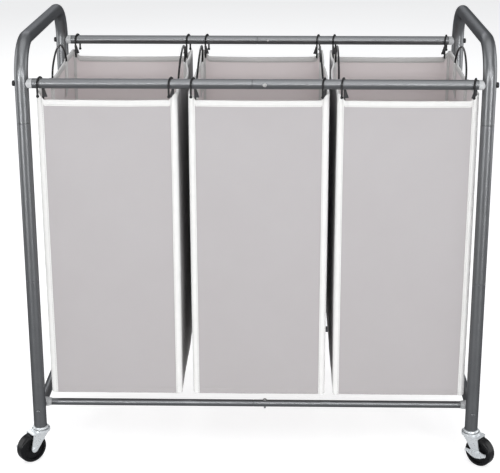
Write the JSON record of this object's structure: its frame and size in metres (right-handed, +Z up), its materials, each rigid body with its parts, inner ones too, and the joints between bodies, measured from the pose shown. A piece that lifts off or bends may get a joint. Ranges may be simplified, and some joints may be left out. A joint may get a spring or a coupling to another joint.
{
  "type": "laundry cart",
  "caption": "Rolling laundry sorter: tubular metal frame with arched push handles, hanging rails, lift-out open fabric bags on wire hooks, and swivel casters with brakes.",
  "frame": {"origin": "on the floor, in the middle of the four casters", "axes": "+X to the right along the hanging rails, +Y from the front rail to the rear rail, +Z up"},
  "size_m": [0.8188, 0.4664, 0.7345],
  "materials": {
    "frame_paint": "satin metallic gunmetal powder coat",
    "zinc_plate": "bright zinc plating",
    "steel_fittings": "plain steel",
    "black_fasteners": "black oxide",
    "spacer_plastic": "light grey moulded",
    "wheel": "black moulded wheel",
    "coated_wire": "black plastic-coated wire",
    "bag_fabric": "light taupe-grey coated woven polyester",
    "binding_fabric": "white woven tape"
  },
  "bodies": {
    "frame": {"bottom_leg_front_left": "frame_paint", "bottom_leg_front_right": "frame_paint", "bottom_leg_rear_left": "frame_paint", "bottom_leg_rear_right": "frame_paint", "caster_balls": "steel_fittings", "caster_sockets": "steel_fittings", "caster_stems": "zinc_plate", "left_arch": "frame_paint", "lower_rail_bolts": "black_fasteners", "lower_rail_front_left": "frame_paint", "lower_rail_front_right": "frame_paint", "lower_rail_nuts": "steel_fittings", "lower_rail_rear_left": "frame_paint", "lower_rail_rear_right": "frame_paint", "lower_rail_saddles": "spacer_plastic", "lower_side_tube_left": "frame_paint", "lower_side_tube_right": "frame_paint", "middle_leg_front_left": "frame_paint", "middle_leg_front_right": "frame_paint", "middle_leg_rear_left": "frame_paint", "middle_leg_rear_right": "frame_paint", "rail_joint_screws": "steel_fittings", "right_arch": "frame_paint", "side_tube_bolts": "frame_paint", "side_tube_nuts": "steel_fittings", "upper_rail_bolts": "black_fasteners", "upper_rail_front_left": "frame_paint", "upper_rail_front_right": "frame_paint", "upper_rail_nuts": "steel_fittings", "upper_rail_rear_left": "frame_paint", "upper_rail_rear_right": "frame_paint", "upper_rail_saddles": "spacer_plastic"},
    "fork_front_left": {"caster_axle_front_left": "zinc_plate", "caster_fork_front_left": "zinc_plate"},
    "wheel_front_left": {"caster_wheel_front_left": "wheel"},
    "fork_front_right": {"caster_axle_front_right": "zinc_plate", "caster_fork_front_right": "zinc_plate"},
    "wheel_front_right": {"caster_wheel_front_right": "wheel"},
    "fork_rear_left": {"caster_axle_rear_left": "zinc_plate", "caster_fork_rear_left": "zinc_plate"},
    "wheel_rear_left": {"caster_wheel_rear_left": "wheel"},
    "fork_rear_right": {"caster_axle_rear_right": "zinc_plate", "caster_fork_rear_right": "zinc_plate"},
    "wheel_rear_right": {"caster_wheel_rear_right": "wheel"},
    "brake_front_left": {"brake_lever_front_left": "zinc_plate"},
    "brake_front_right": {"brake_lever_front_right": "zinc_plate"},
    "bag_left": {"left_bag": "bag_fabric", "left_bag_handles": "coated_wire", "left_bag_hooks": "coated_wire", "left_bag_sleeves": "binding_fabric"},
    "bag_middle": {"middle_bag": "bag_fabric", "middle_bag_handles": "coated_wire", "middle_bag_hooks": "coated_wire", "middle_bag_sleeves": "binding_fabric"},
    "bag_right": {"right_bag": "bag_fabric", "right_bag_handles": "coated_wire", "right_bag_hooks": "coated_wire", "right_bag_sleeves": "binding_fabric"}
  },
  "joints": [
    {"name": "swivel_front_left", "type": "hinge", "parent": "frame", "child": "fork_front_left", "pos_m": [-0.37, -0.196, 0.0525], "axis": [0, 0, 1], "continuous": true},
    {"name": "spin_front_left", "type": "hinge", "parent": "fork_front_left", "child": "wheel_front_left", "pos_m": [-0.38486, -0.20938, 0.025], "axis": [0.6691, -0.7431, 0], "continuous": true},
    {"name": "brake_front_left", "type": "hinge", "parent": "fork_front_left", "child": "brake_front_left", "pos_m": [-0.38486, -0.20938, 0.025], "axis": [0.6691, -0.7431, 0], "range_deg": [0, 24]},
    {"name": "swivel_front_right", "type": "hinge", "parent": "frame", "child": "fork_front_right", "pos_m": [0.37, -0.196, 0.0525], "axis": [0, 0, 1], "continuous": true},
    {"name": "spin_front_right", "type": "hinge", "parent": "fork_front_right", "child": "wheel_front_right", "pos_m": [0.38486, -0.20938, 0.025], "axis": [0.6691, 0.7431, 0], "continuous": true},
    {"name": "brake_front_right", "type": "hinge", "parent": "fork_front_right", "child": "brake_front_right", "pos_m": [0.38486, -0.20938, 0.025], "axis": [0.6691, 0.7431, 0], "range_deg": [0, 24]},
    {"name": "swivel_rear_left", "type": "hinge", "parent": "frame", "child": "fork_rear_left", "pos_m": [-0.37, 0.196, 0.0525], "axis": [0, 0, 1], "continuous": true},
    {"name": "spin_rear_left", "type": "hinge", "parent": "fork_rear_left", "child": "wheel_rear_left", "pos_m": [-0.38486, 0.20938, 0.025], "axis": [-0.6691, -0.7431, 0], "continuous": true},
    {"name": "swivel_rear_right", "type": "hinge", "parent": "frame", "child": "fork_rear_right", "pos_m": [0.37, 0.196, 0.0525], "axis": [0, 0, 1], "continuous": true},
    {"name": "spin_rear_right", "type": "hinge", "parent": "fork_rear_right", "child": "wheel_rear_right", "pos_m": [0.38486, 0.20938, 0.025], "axis": [-0.6691, 0.7431, 0], "continuous": true},
    {"name": "lift_out_left_bag", "type": "slide", "parent": "frame", "child": "bag_left", "axis": [0, 0, 1], "range_m": [0, 0.56]},
    {"name": "lift_out_middle_bag", "type": "slide", "parent": "frame", "child": "bag_middle", "axis": [0, 0, 1], "range_m": [0, 0.56]},
    {"name": "lift_out_right_bag", "type": "slide", "parent": "frame", "child": "bag_right", "axis": [0, 0, 1], "range_m": [0, 0.56]}
  ]
}
